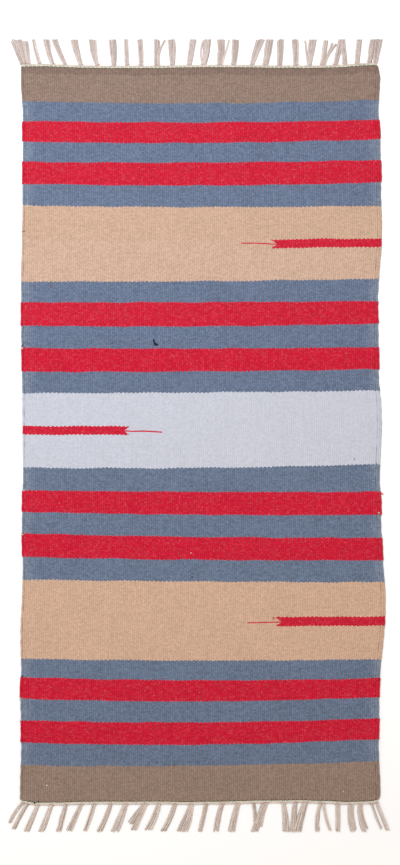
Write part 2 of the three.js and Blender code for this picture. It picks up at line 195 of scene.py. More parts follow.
# Fringe bundles from the left: the knot's X, the width there, how far the middle bows to +X, the cut end's X,
# the width there, and how far short of the cut line it stops
BUNDLES = {"top": [
    (-346.5, 6.5, 0.5, -362.5, 10, 0), (-340, 6.5, 0.5, -352.5, 10.5, 0), (-333, 9.5, 0, -340, 14, 3),
    (-311, 8.5, -1, -322.5, 9, 0), (-286, 9, -1.5, -299, 12, 0), (-261, 9, -1, -282.5, 12, 0),
    (-231, 9.5, -1, -244.5, 15, 0), (-199.5, 9, -1.5, -208.5, 15.5, 0), (-167, 10, 0.5, -170, 15.5, 0),
    (-142, 9, 0, -143.5, 9, 0), (-114, 9.5, 0.5, -116.5, 11.5, 0), (-84.5, 10.5, 0.5, -83.5, 12.5, 0),
    (-53.5, 10.5, 1, -55.5, 15.5, 0), (-21, 10, 0, -13, 13, 0), (8, 10, 1.5, 14, 15, 0),
    (38, 11, 1.5, 41, 15.5, 0), (65.5, 9.5, 0.5, 69.5, 14.5, 0), (100.5, 9.5, 0, 118, 16.5, 0),
    (127, 11.5, 0.5, 135.5, 15.5, 0), (154.5, 11, 0.5, 156.5, 13.5, 0), (185.5, 10, 1, 185, 13.5, 0),
    (212, 9.5, 0, 220, 15, 0), (237.5, 10, 0.5, 244.5, 10, 2), (263, 9.5, 0, 274, 10, 0),
    (282.5, 10, 0, 277.5, 10, 0), (306, 9.5, -0.5, 310.5, 11, 0), (329.5, 10, 0, 335.5, 11, 0),
    (341, 9, -0.5, 348.5, 14, 0),
], "bottom": [
    (-343.5, 8, -2.5, -368, 9, 17), (-334.5, 8, -1, -361.5, 9, 5), (-314.5, 8, 0, -336.5, 12, 0),
    (-288, 9, 0, -307.5, 13, 0), (-260.5, 8.5, 0, -274.5, 10.5, 0), (-230, 8.5, 0, -253.5, 12.5, 1.5),
    (-205, 8, 1, -222, 9.5, 1.5), (-173, 9, 1.5, -195, 11.5, 0), (-144, 10.5, 0.5, -165, 16.5, 0),
    (-108, 6, -1, -134.5, 11, 15), (-104, 7.5, -0.5, -128, 12, 3), (-79.5, 9.5, 2, -100.5, 14.5, 3),
    (-48, 9.5, 2, -70.5, 12, 0), (-16.5, 10.5, 1.5, -34.5, 22, 0), (12, 9, 0.5, 0, 9, 0),
    (43.5, 10, -1.5, 31.5, 12, 0), (74, 10, -1, 61.5, 14, 0), (104, 8, 1, 107, 7, 8),
    (126.5, 15, 0.5, 106, 15, 0), (162, 9, 1, 167.5, 14, 0), (185.5, 9.5, -0.5, 181.5, 12.5, 0),
    (205, 11.5, -1, 189, 15.5, 0), (235, 7, -3.5, 229, 9.5, 0), (240.5, 6, -2, 253, 7, 2),
    (267.5, 10, 0.5, 268, 9.5, 0), (292, 9, -2.5, 297, 10.5, 0), (311, 8.5, -3.5, 319.5, 9.5, 0),
    (333.5, 5.5, -1, 352, 5, 5), (343.5, 8.5, 0, 364.5, 9.5, 3),
]}

# Single yarns that stray: X at the root, half way and at the cut end, and how far short of the cut line
STRAYS = {"top": [
    (-288, -290.5, -292.5, 2), (-79, -78.5, -67.5, 2), (6.5, 1.5, 7.5, 3), (41.5, 50, 57, 2),
    (210.5, 207.5, 205, 3), (239.5, 249, 258, 8), (241.5, 250.5, 265, 10), (264, 271.5, 274.5, 8),
    (329.5, 335, 339, 5),
], "bottom": [
    (129, 124.5, 120, 10), (296.5, 298.5, 303, 4), (314.5, 317.5, 326, 6),
]}
FRINGE_REACH = 770.0
FRINGE_ROOT = BINDER_PLACE + 0.4
FRINGE_SEED = {"top": 11, "bottom": 23}

# Yarns of a bundle
YARN_RADIUS = 1.08
YARNS_PER_WIDTH = 0.86

# Knots: how far out from the cloth they lie, and how much of a bundle's width they span
KNOT_PLACE = {"top": 5.2, "bottom": 3.5}
KNOT_SPAN = {"top": 0.6, "bottom": 1.0}
KNOT_SEED = {"top": 5, "bottom": 9}
KNOT_RADIUS = 0.66

# Plied yarn, as shares of its radius: a ply's radius and its distance from the middle, the twist's height by
# its width, and how much thinner an open ply is. The plies open over the last few millimetres
PLY_RADIUS = 0.6
PLY_REACH = 0.44
PLY_FLATNESS = 0.9
OPEN_THINNING = 0.25
OPEN_LENGTH = 4.0

# Yarns of the cloth: the colour in linear light, and the traits, which are how strongly it varies, how many
# pale fibres it holds and how strongly the painted shade between its beads shows
YARNS = {
    "blue": ((0.123, 0.16, 0.2434), (1.02, 0.16, 0.8)),
    "lower blue": ((0.1255, 0.1643, 0.2427), (1.02, 0.16, 0.8)),
    "red": ((0.54, 0.009, 0.0325), (0.6, 0.24, 1.6)),
    "deep red": ((0.54, 0.007, 0.0306), (0.6, 0.24, 1.6)),
    "beige": ((0.532, 0.3515, 0.254), (0.61, 0.1, 0.9)),
    "cool beige": ((0.538, 0.363, 0.27), (0.61, 0.1, 0.9)),
    "warm beige": ((0.5615, 0.37, 0.2616), (0.61, 0.1, 0.9)),
    "pale": ((0.5075, 0.521, 0.5905), (0.35, 0.1, 0.3)),
    "taupe": ((0.257, 0.177, 0.1423), (0.78, 0.1, 1.2)),
    "grey taupe": ((0.2757, 0.1954, 0.1534), (0.78, 0.1, 1.2)),
    "heading": ((0.2153, 0.145, 0.1196), (0.78, 0.1, 1.2)),
    # The first and last picks: a darker yarn, darker still with painted shade of the groove beside the header
    # cord
    "first pick": ((0.175, 0.15, 0.108), (0.85, 0.05, 1.0)),
}
# The fringe is one yarn at both ends, with painted light: lighter at the bottom end to make up for the dimmer
# light there
FRINGE_YARNS = {"top": (0.665, 0.56, 0.52), "bottom": (0.735, 0.632, 0.57)}
HEADER_YARN = (0.79, 0.803, 0.668)
BINDER_YARN = (0.81, 0.705, 0.655)
KNOT_YARN = (0.49, 0.3, 0.25)
THREADS = {
    "cream": (0.65, 0.58, 0.48),
    "white": (0.8, 0.79, 0.8),
    "dark": (0.022, 0.016, 0.022),
    "brown": (0.3, 0.18, 0.12),
    "red": (0.56, 0.02, 0.04),
}
FLOOR_PAINT = (0.965, 0.98, 0.99)

# Slow changes over the weave: the rates across and along, the seed and the scale of the noise
WEAVE_CHANGES = {
    "sway": (1, 0.08, 9, 0.7),
    "rub": (0.1, 0.05, 14, 1),
    "opening": (1, 0.06, 5, 1),
    "ragged": (0.04, 1, 6, 1),
    "wander": (0.12, 1, 8, 1),
    "streak": (0.1, 1, 0, 0.9),
    "cord": (1, 0.012, 4, 0.9),
    "beaten": (0.006, 0.15, 21, 1),
}

# How many picks the beads sway, the heading's edge is ragged and an arrow's thread wanders
BEAD_SWAY = 1.6
RAGGED_PICKS = 12.0
THREAD_WANDER = 1.6

# Near the selvedges the blue is worn pale
WORN_RIBS = 6.0
WORN_BLUE = (0.27, 0.31, 0.37)
WORN_SHARE = 0.45

# How many of the first and last picks differ, darkened partly with painted shade, and the dome of a bead
FIRST_PICKS = 1.5
DOME_MIDDLE = 1.15
DOME_FALL = 0.8
DOME_MEAN = 0.833

# What makes the weave's shade uneven and its painted shade between beads stronger, and what its bump is made
# of
SHADE_WEIGHTS = {"bead": 0.34, "streak": 0.34, "cord": 0.15, "patch": 0.1, "mottle": 0.34, "beaten": 0.1}
RIB_FURROW_SHADE = 0.38
FURROW_SHADE_WEIGHTS = {"beaten": 0.9, "sunk": 0.55}
BUMP_WEIGHTS = {"dome": 0.65, "twist": 0.06, "fibre": 0.4}

# Pale and dark fibres in the weave
PALE_FIBRE = (0.75, 0.7, 0.66)
DARK_FIBRE = (0.045, 0.03, 0.032)
CARDED_SHARE = 0.16
DARK_SHARE = 0.2

# Loose yarn: what makes its shade uneven, how its tones are spread, how much browner the dark ones are, the
# painted shade close to the floor, how dark it is at the roots of the fringe, and the painted shadow on a
# bundle's side
YARN_WEIGHTS = {"own": 0.42, "mottle": 0.4, "fibre": 0.3}
TONE_POWER = 0.6
BROWNING = 0.15
LOW_YARN_SHADE_HEIGHT = 2.2
LOW_YARN_PAINTED_SHADE = 0.62
ROOT_LENGTH = 18.0
FRINGE_ROOT_SHADE = 0.11
SIDE_SHADE_DARKNESS = 0.26

# The lamp's place and what it shines at, in metres
KEY_PLACE = (-0.6, 1.0, 2.2)
KEY_TARGET = (-0.18, 0.3, 0.0)

HEIGHTS = np.array([section[1:4] for section in SECTIONS] + [CLOTH_END])
TOP_MIDDLE = HEIGHTS[0, 1]
START_PICKS = (TOP_MIDDLE - HEIGHTS[:, 1]) / PICK
MIDDLE_PICKS = (START_PICKS[:-1] + START_PICKS[1:]) / 2
LAST_PICK = START_PICKS[-1]


# Places on the cloth


def photo_to_rug(column, row):
    """The point of the rug, in millimetres, under a pixel of the photograph."""
    return (column - ORIGIN_PIXEL[0]) * PIXEL, (ORIGIN_PIXEL[1] - row) * PIXEL


def bow(heights, share):
    """Height at a share of the width, on a bow through the left, middle and right heights."""
    left, middle, right = np.moveaxis(heights, -1, 0)
    side = 2 * share - 1
    return middle + (right - left) / 2 * side + ((left + right) / 2 - middle) * side * side


def soft_noise(x, y, seed):
    """A soft random value of about -1 to 1, the same each run: waves about a unit long."""
    rng = random.Random(seed)
    total = 0.0
    for _ in range(7):
        angle = rng.uniform(0, math.pi)
        turns = math.tau * rng.uniform(0.6, 1.5)
        phase = rng.uniform(0, math.tau)
        total = total + np.sin(turns * (x * math.cos(angle) + y * math.sin(angle)) + phase)
    usual_peak = 3.2
    return total / usual_peak


def waver(kind, x, y):
    """Slow unevenness of one kind."""
    return kind.size * soft_noise(x / kind.across, y / kind.along, kind.seed)


def selvedge_reach(picks, side):
    """How far a selvedge stands out at a pick. It runs evenly between the middles of the sections."""
    return np.interp(picks, MIDDLE_PICKS, [getattr(section, f"{side}_reach") for section in SECTIONS])


def red_proud(picks):
    """How much further out the weft of the red bands turns, at each pick."""
    ramp = STEP_LENGTH / PICK
    proud = np.zeros_like(picks)
    for k, section in enumerate(SECTIONS):
        if section.yarn.endswith("red"):
            rise = np.clip((picks - START_PICKS[k]) / ramp + 0.5, 0, 1)
            fall = np.clip((START_PICKS[k + 1] - picks) / ramp + 0.5, 0, 1)
            proud = np.maximum(proud, RED_STANDS_PROUD * np.minimum(rise, fall))
    return proud


def end_dip(end, x):
    """How far a woven end strays from its bow at X."""
    return np.interp(x, *zip(*END_DIPS[end]))


def weave_points(ribs, picks):
    """X and Y, in millimetres, of points of the cloth given by their ribs and picks."""
    ribs, picks = np.broadcast_arrays(np.asarray(ribs, float), np.asarray(picks, float))
    share = ribs / RIBS
    last = len(SECTIONS) - 1
    k = np.clip(np.searchsorted(START_PICKS, picks, side="right") - 1, 0, last)
    t = (picks - START_PICKS[k]) / (START_PICKS[k + 1] - START_PICKS[k])
    left = selvedge_reach(picks, "left")
    x = share * (left + selvedge_reach(picks, "right")) - left

    # Height: between the bows of its section, with the dips of the ends, and wavering away from them
    y = (1 - t) * bow(HEIGHTS[k], share) + t * bow(HEIGHTS[k + 1], share)
    y = y + np.where(k == 0, (1 - t) * end_dip("top", x), 0)
    y = y + np.where(k == last, t * end_dip("bottom", x), 0)
    straight_picks = 12
    inside = np.clip(np.minimum(picks, LAST_PICK - picks) / straight_picks, 0, 1)
    y = y + inside * waver(WEFT_WAVER, x, picks)

    # Sides: the outermost ribs follow the selvedges, and the right corners are drawn in
    near_left = np.clip(1 - ribs / PROUD_RIBS, 0, 1)
    near_right = np.clip(1 - (RIBS - ribs) / PROUD_RIBS, 0, 1)
    stand = red_proud(picks) + waver(SELVEDGE_WAVER, picks, np.sign(x))
    x = x + stand * (near_right - near_left)
    for end, from_end in (("top", picks), ("bottom", LAST_PICK - picks)):
        draw, length = CORNER_DRAW[end]
        x = x - draw * np.clip(1 - from_end * PICK / length, 0, 1) ** 2 * near_right
    return x, y


def end_point(end, x, distance):
    """A point so far out from an end of the cloth."""
    k = 0 if end == "top" else -1
    section = SECTIONS[k]
    share = (x + section.left_reach) / (section.left_reach + section.right_reach)
    y = bow(HEIGHTS[k], share) + end_dip(end, x) + OUTWARD[end] * distance
    return np.array([x, y, 0.0])


# Meshes


def new_object(name, data):
    """An object of the scene that shows this data."""
    obj = bpy.data.objects.new(name, data)
    bpy.context.scene.collection.objects.link(obj)
    return obj


def new_mesh(name, vertices, faces, material, smooth=True):
    """A mesh object from points in millimetres."""
    mesh = bpy.data.meshes.new(name)
    mesh.from_pydata((np.asarray(vertices, float) * MM).tolist(), [], faces)
    mesh.validate()
    mesh.materials.append(material)
    mesh.polygons.foreach_set("use_smooth", [smooth] * len(mesh.polygons))
    return new_object(name, mesh)


def store(obj, name, values):
    """A number for each vertex, for the material to read."""
    attribute = obj.data.attributes.new(name, "FLOAT", "POINT")
    attribute.data.foreach_set("value", np.asarray(values, np.float32))


def tube_faces(first, rings, sides):
    """Faces of a closed tube whose rings of points start at vertex first."""
    faces = []
    for r in range(rings - 1):
        for k in range(sides):
            a = first + r * sides + k
            b = first + r * sides + (k + 1) % sides
            faces.append((a, a + sides, b + sides, b))
    last = first + (rings - 1) * sides
    faces.append(tuple(range(first, first + sides)))
    faces.append(tuple(reversed(range(last, last + sides))))
    return faces


def length_along(path):
    """How far along the path each of its points lies."""
    return np.concatenate([[0], np.cumsum(np.linalg.norm(np.diff(path, axis=0), axis=1))])


def path_frame(path):
    """The sideways and upward directions at each point of a path."""
    tangent = np.gradient(path, axis=0)
    tangent /= np.linalg.norm(tangent, axis=1)[:, None]
    right = np.cross(tangent, [0, 0, 1])
    right /= np.maximum(np.linalg.norm(right, axis=1)[:, None], 1e-6)
    return right, np.cross(right, tangent)


class Yarns:
    """Collects yarns, each made of tubes along a path, into one mesh."""

    def __init__(self):
        self.vertices = []
        self.faces = []
        self.values = {"along": [], "number": [], "painted_side_shade": []}
        self.count = 0

    def tube(self, path, radii, sides, phase=0.0, painted_side_shade=0.0):
        """One closed tube."""
        right, up = path_frame(path)
        angles = (phase + math.tau * np.arange(sides) / sides)[None, :, None]
        ring = np.cos(angles) * right[:, None, :] + np.sin(angles) * up[:, None, :]
        radii = np.broadcast_to(radii, len(path))
        points = path[:, None, :] + radii[:, None, None] * ring
        self.faces += tube_faces(len(self.vertices), len(path), sides)
        self.vertices += list(points.reshape(-1, 3))
        self.values["along"] += list(np.repeat(length_along(path), sides))
        self.values["number"] += [self.count] * (len(path) * sides)
        self.values["painted_side_shade"] += [painted_side_shade] * (len(path) * sides)

    def plied(self, path, radius, pitch, phase, plies=2, sides=5, open_end=0.0, painted_side_shade=0.0):
        """A yarn of plies twisted round its path. open_end is how far they part at the cut end."""
        self.count += 1
        travelled = length_along(path)
        right, up = path_frame(path)
        part = np.clip((travelled - travelled[-1] + OPEN_LENGTH) / OPEN_LENGTH, 0, 1) * open_end
        radii = radius * (PLY_RADIUS - OPEN_THINNING * part)
        reach = radius * (PLY_REACH + part)
        for ply in range(plies):
            turn = phase + math.tau * (travelled / pitch + ply / plies)
            aside = (np.cos(turn) * reach)[:, None] * right
            upward = (np.sin(turn) * reach * PLY_FLATNESS)[:, None] * up
            centre = path + aside + upward
            centre[:, 2] = np.maximum(centre[:, 2], radii)
            self.tube(centre, radii, sides, phase=ply, painted_side_shade=painted_side_shade)

    def object(self, name, material):
        """All the yarns as one mesh, with the numbers that their material reads."""
        obj = new_mesh(name, self.vertices, self.faces, material)
        for kind, values in self.values.items():
            store(obj, kind, values)
        return obj


# Materials


class Graph:
    """A short way to write a material's nodes. A value is a number or another node's output."""

    def __init__(self, name):
        self.material = bpy.data.materials.new(name)
        self.material.use_nodes = True
        self.tree = self.material.node_tree
        self.shader = self.tree.nodes["Principled BSDF"]

    def put(self, socket, value):
        if isinstance(value, bpy.types.NodeSocket):
            self.tree.links.new(value, socket)
        else:
            socket.default_value = value

    def node(self, kind, *values, **settings):
        """A new node with its first inputs and its settings."""
        node = self.tree.nodes.new(kind)
        for key, value in settings.items():
            setattr(node, key, value)
        for socket, value in zip(node.inputs, values):
            self.put(socket, value)
        return node

    def math(self, operation, *values):
        return self.node("ShaderNodeMath", *values, operation=operation).outputs[0]

    def plus(self, a, b):
        return self.math("ADD", a, b)

    def minus(self, a, b):
        return self.math("SUBTRACT", a, b)

    def times(self, a, b):
        return self.math("MULTIPLY", a, b)

    def linear(self, value, slope, start):
        """The value times slope, plus start."""
        return self.math("MULTIPLY_ADD", value, slope, start)

    def apart(self, a, b):
        return self.math("ABSOLUTE", self.minus(a, b))

    def clamp(self, value):
        return self.math("MINIMUM", self.math("MAXIMUM", value, 0.0), 1.0)

    def total(self, values, weights):
        """The sum of each value times its weight."""
        result = 0.0
        for kind, weight in weights.items():
            result = self.linear(values[kind], weight, result)
        return result

    def mix(self, factor, a, b, blend="MIX"):
        node = self.node("ShaderNodeMix", data_type="RGBA", blend_type=blend)
        for name, value in (("Factor", factor), ("A", a), ("B", b)):
            socket = [s for s in node.inputs if s.name == name and s.enabled][0]
            if name != "Factor" and not isinstance(value, bpy.types.NodeSocket):
                value = (*value, 1.0)
            self.put(socket, value)
        return [s for s in node.outputs if s.enabled][0]

    def combine(self, x, y, z):
        return self.node("ShaderNodeCombineXYZ", x, y, z).outputs[0]

    def split(self, vector):
        return list(self.node("ShaderNodeSeparateXYZ", vector).outputs)

    def attribute(self, name):
        return self.node("ShaderNodeAttribute", attribute_name=name).outputs["Fac"]

    def position(self):
        return self.node("ShaderNodeTexCoord").outputs["Object"]

    def noise(self, vector, scale, detail=2.0):
        """Soft noise round zero."""
        node = self.node("ShaderNodeTexNoise", vector)
        node.inputs["Scale"].default_value = scale
        node.inputs["Detail"].default_value = detail
        return self.minus(node.outputs["Fac"], 0.5)

    def over_weave(self, change, across, along):
        """One of the slow changes over the weave."""
        across_rate, along_rate, seed, scale = WEAVE_CHANGES[change]
        place = self.combine(self.times(across, across_rate), self.times(along, along_rate), seed)
        return self.noise(place, scale)

    def white(self, x, y, seed):
        """An even random number from 0 to 1 for each pair of whole numbers."""
        place = self.combine(x, y, seed)
        return self.node("ShaderNodeTexWhiteNoise", place, noise_dimensions="3D").outputs["Value"]

    def specks(self, across, along, seed, radius):
        """Round soft specks, so many to a metre across and along, most of them faint."""
        x, y, _ = self.split(self.position())
        place = self.combine(self.times(x, across), self.times(y, along), seed)
        cells = self.node("ShaderNodeTexVoronoi", place, voronoi_dimensions="3D")
        cells.inputs["Scale"].default_value = 1.0
        ends = (cells.outputs["Distance"], radius, 0.3 * radius, 0.0, 1.0)
        speck = self.node("ShaderNodeMapRange", *ends, interpolation_type="SMOOTHSTEP").outputs[0]
        chance = self.split(cells.outputs["Color"])[0]
        return self.times(speck, self.math("POWER", chance, 4.0))

    def bump(self, height, depth):
        """A bump that is so many millimetres deep."""
        node = self.node("ShaderNodeBump")
        node.inputs["Distance"].default_value = depth * MM
        self.put(node.inputs["Height"], height)
        return node.outputs["Normal"]

    def finish(self, colour, roughness, specular, **others):
        """The material, with its shader's inputs."""
        inputs = {"Base Color": colour, "Roughness": roughness, "Specular IOR Level": specular, **others}
        for name, value in inputs.items():
            self.put(self.shader.inputs[name], value)
        return self.material


class WeaveGraph(Graph):
    """A graph that knows where in the weave a point lies.

    Each rib is a column of beads two picks long, and every second column is shifted by one pick. The seen
    rib and pick are those at the middle of the bead.
    """

    def __init__(self, name):
        super().__init__(name)
        self.place = self.position()
        self.rib = self.attribute("rib")
        self.straight_pick = self.attribute("pick")
        self.column = self.math("FLOOR", self.rib)
        sway = self.over_weave("sway", self.column, self.straight_pick)
        self.pick = self.linear(sway, BEAD_SWAY, self.straight_pick)
        shift = self.math("FLOORED_MODULO", self.column, 2.0)
        self.beads_down = self.times(self.minus(self.pick, shift), 0.5)
        self.bead = self.math("FLOOR", self.beads_down)
        self.seen_pick = self.plus(self.linear(self.bead, 2.0, shift), 1.0)
        self.seen_rib = self.plus(self.column, 0.5)


def band_starts():
    """Every change of yarn down the cloth, as the pick where it starts and the yarn."""
    bands = [(FIRST_PICKS, "heading"), (HEADING_LENGTH / PICK, SECTIONS[0].yarn)]
    for k in range(1, len(SECTIONS)):
        if SECTIONS[k].yarn != SECTIONS[k - 1].yarn:
            bands.append((START_PICKS[k], SECTIONS[k].yarn))
    return bands + [(LAST_PICK - FIRST_PICKS, "first pick")]


def rib_at(x, pick):
    """The rib at X, at a pick."""
    left = selvedge_reach(pick, "left")
    right = selvedge_reach(pick, "right")
    return (x + left) / (left + right) * RIBS


def arrow_mask(weave, arrow, thread_pick):
    """1 where an arrow motif is woven, else 0: a shaft with a forked end, and one thread beyond."""
    centre = (TOP_MIDDLE - arrow.height) / PICK
    half = arrow.thickness / PICK / 2
    fork, notch, line_end = (rib_at(x, centre) for x in (arrow.fork, arrow.notch, arrow.line_end))
    beyond = "GREATER_THAN" if arrow.side == "right" else "LESS_THAN"

    # The shaft turns bead by bead, and its notch runs half way between the beads and a straight cut
    soft_rib = weave.times(weave.plus(weave.rib, weave.seen_rib), 0.5)
    soft_pick = weave.times(weave.plus(weave.pick, weave.seen_pick), 0.5)
    slant = weave.linear(weave.apart(soft_pick, centre), (fork - notch) / half, notch)
    in_shaft = weave.math("LESS_THAN", weave.apart(weave.seen_pick, centre), half)
    shaft = weave.times(weave.math(beyond, soft_rib, slant), in_shaft)

    # The thin line slants a little
    tilt = -arrow.rise / PICK / (line_end - notch)
    line_pick = weave.linear(weave.rib, tilt, centre - tilt * notch)
    in_line = weave.math("LESS_THAN", weave.apart(thread_pick, line_pick), arrow.line_picks / 2)
    line = weave.times(weave.math(beyond, weave.seen_rib, line_end), in_line)
    return weave.math("MAXIMUM", shaft, line)


def worn(weave):
    """How worn the yarn is, from 0 to 1: most of all at the selvedges."""
    from_edge = weave.math("MINIMUM", weave.rib, weave.minus(RIBS, weave.rib))
    rub = weave.over_weave("rub", weave.rib, weave.pick)
    return weave.clamp(weave.linear(from_edge, -1 / WORN_RIBS, weave.plus(rub, 1.0)))


def edge_furrow_shade(weave):
    """The painted shade of the groove that opens now and then beside the second cord in from each selvedge.
    """
    right_half = weave.math("GREATER_THAN", weave.rib, RIBS / 2)
    opening = weave.over_weave("opening", right_half, weave.pick)
    contrast = 4.0
    opening = weave.clamp(weave.linear(opening, contrast, 0.5))
    half_width = 0.26
    darkness = 0.36
    furrows = 0.0
    for rib in (1.0, 170.0):
        inside = weave.math("LESS_THAN", weave.apart(weave.rib, rib), half_width)
        furrows = weave.plus(furrows, inside)
    return weave.linear(weave.times(furrows, opening), -darkness, 1.0)


def bead_yarn(weave):
    """The colour of each bead's yarn, and that yarn's traits."""
    seen_pick = weave.seen_pick
    ragged = weave.over_weave("ragged", weave.column, 2.0)
    ragged_pick = weave.linear(ragged, RAGGED_PICKS, seen_pick)
    masks = []
    for number, (start, yarn) in enumerate(band_starts()):
        pick = ragged_pick if number == 1 else seen_pick
        masks.append((weave.math("GREATER_THAN", pick, start), yarn))
    wander = weave.over_weave("wander", weave.rib, 4.0)
    thread_pick = weave.linear(wander, THREAD_WANDER, weave.straight_pick)
    masks += [(arrow_mask(weave, arrow, thread_pick), "red") for arrow in ARROWS]

    colours = {yarn: colour for yarn, (colour, _) in YARNS.items()}
    worn_share = weave.times(worn(weave), WORN_SHARE)
    for blue in ("blue", "lower blue"):
        colours[blue] = weave.mix(worn_share, colours[blue], WORN_BLUE)
    colour, traits = YARNS["first pick"]
    for mask, yarn in masks:
        colour = weave.mix(mask, colour, colours[yarn])
        traits = weave.mix(mask, traits, YARNS[yarn][1])
    return colour, weave.split(traits)


def weave_material():
    """Weft-faced plain weave: bands of yarn, beads that step from rib to rib, and uneven handspun yarn."""
    weave = WeaveGraph("kilim_weave")
    colour, (strength, pale_share, furrow_shading) = bead_yarn(weave)

    # The domed bead: u runs across the rib and v along it
    u = weave.linear(weave.math("FRACT", weave.rib), 2.0, -1.0)
    v = weave.linear(weave.math("FRACT", weave.beads_down), 2.0, -1.0)
    dome = weave.linear(weave.times(u, u), -1.0, DOME_MIDDLE)
    dome = weave.linear(weave.times(v, v), -DOME_FALL, dome)
    dome = weave.math("SQRT", weave.math("MAXIMUM", dome, 0.01))

    # Uneven yarn: each bead, each pick along the weft, each warp cord, and wide soft patches
    changes = {
        "bead": weave.minus(weave.white(weave.column, weave.bead, 0.0), 0.5),
        "sunk": weave.minus(weave.white(weave.column, weave.bead, 7.0), 0.5),
        "streak": weave.over_weave("streak", weave.rib, weave.seen_pick),
        "cord": weave.over_weave("cord", weave.column, weave.pick),
        "beaten": weave.over_weave("beaten", weave.rib, weave.pick),
        "patch": weave.noise(weave.place, 14.0, 1.0),
        "mottle": weave.noise(weave.place, 400.0, 2.0),
    }
    # Painted shade: the colour darkens towards each bead's edges and corners, in the furrows between beads,
    # and lightens on its crown; depth is how strong this painted shade is, not a real depth
    depth = weave.times(weave.plus(RIB_FURROW_SHADE, weave.total(changes, FURROW_SHADE_WEIGHTS)), furrow_shading)
    painted_furrow_shade = weave.times(weave.minus(dome, DOME_MEAN), depth)
    uneven = weave.plus(weave.total(changes, SHADE_WEIGHTS), painted_furrow_shade)
    shade = weave.times(weave.linear(uneven, strength, 1.0), edge_furrow_shade(weave))
    colour = weave.mix(1.0, colour, weave.combine(shade, shade, shade), "MULTIPLY")

    # Pale and dark neps lie along the weft
    pale = weave.specks(across=180.0, along=270.0, seed=3.0, radius=0.28)
    dark = weave.specks(across=60.0, along=95.0, seed=8.0, radius=0.2)
    carded = weave.math("POWER", weave.white(weave.column, weave.bead, 5.0), 3.0)
    pale = weave.linear(carded, CARDED_SHARE, pale)
    colour = weave.mix(weave.times(pale, pale_share), colour, PALE_FIBRE)
    colour = weave.mix(weave.times(dark, DARK_SHARE), colour, DARK_FIBRE)

    # Beads stand up in the bump, with the yarn's twist and loose fibres on them
    twist = weave.math("SINE", weave.linear(u, 9.0, weave.times(v, 4.0)))
    relief = {"dome": dome, "twist": twist, "fibre": weave.noise(weave.place, 1400.0, 3.0)}
    bump = weave.bump(weave.total(relief, BUMP_WEIGHTS), depth=0.35)
    return weave.finish(colour, roughness=0.8, specular=0.1, Normal=bump)


def yarn_material(name, colour, root_shade=0.0):
    """Plied cotton: soft fibres along the yarn, and a colour that changes a little from yarn to yarn."""
    graph = Graph(name)
    place = graph.position()
    length = graph.attribute("along")
    number = graph.attribute("number")
    tone = graph.math("POWER", graph.white(number, 3.0, 1.0), TONE_POWER)
    changes = {
        "own": graph.minus(tone, 1 / (1 + TONE_POWER)),
        "mottle": graph.noise(place, 160.0, 3.0),
        "fibre": graph.noise(graph.combine(graph.times(length, 0.5), number, 2.0), 1.4, 3.0),
    }
    shade = graph.plus(1.0, graph.total(changes, YARN_WEIGHTS))

    # Painted shade darkens yarn lying low on the floor and the shadow side of a bundle; the fringe's root is
    # darker too
    _, _, z = graph.split(place)
    height = graph.math("MINIMUM", graph.times(z, 1 / (LOW_YARN_SHADE_HEIGHT * MM)), 1.0)
    near_root = graph.math("MAXIMUM", graph.linear(length, -1 / ROOT_LENGTH, 1.0), 0.0)
    shade = graph.times(shade, graph.linear(height, 1 - LOW_YARN_PAINTED_SHADE, LOW_YARN_PAINTED_SHADE))
    shade = graph.times(shade, graph.linear(graph.attribute("painted_side_shade"), -SIDE_SHADE_DARKNESS, 1.0))
    shade = graph.times(shade, graph.linear(near_root, -root_shade, 1.0))

    # The darker it is, the browner
    red = graph.math("POWER", shade, 1 - BROWNING)
    blue = graph.math("POWER", shade, 1 + BROWNING)
    colour = graph.mix(1.0, colour, graph.combine(red, shade, blue), "MULTIPLY")
    bump = graph.bump(graph.noise(place, 1900.0, 3.0), depth=0.12)
    return graph.finish(colour, roughness=0.85, specular=0.2, Normal=bump, **{"Sheen Weight": 0.1})


def plain_material(name, colour):
    """One even matte colour."""
    return Graph(name).finish((*colour, 1.0), roughness=0.9, specular=0.1)


# The cloth


def cloth_rows():
    """The picks of the mesh's rows: both sides of each change of section, some between, and the ends."""
    rows = [0.0, NEXT_TO_END]
    step = STEP_LENGTH / PICK / 2
    for start, end in zip(START_PICKS[:-1], START_PICKS[1:]):
        low = start + step
        high = end - step
        count = max(1, round((high - low) * PICK / ROW_SPACING))
        rows += [low + (high - low) * i / count for i in range(count + 1)]
    rows += [distance / PICK for distance in END_ROWS["top"]]
    rows += [LAST_PICK - distance / PICK for distance in END_ROWS["bottom"]]
    return np.array(sorted(rows) + [LAST_PICK - NEXT_TO_END, LAST_PICK])


def rib_columns(profile):
    """The ribs and rises of one face's columns, which end inside the selvedges."""
    inside = 0.7
    columns = [(inside, 0.0)]
    for cord in range(1, RIBS - 1):
        columns += [(cord + place, rise) for place, rise in profile]
    columns += [(RIBS - 1.0, 0.0), (RIBS - inside, 0.0)]
    return np.array(columns).T


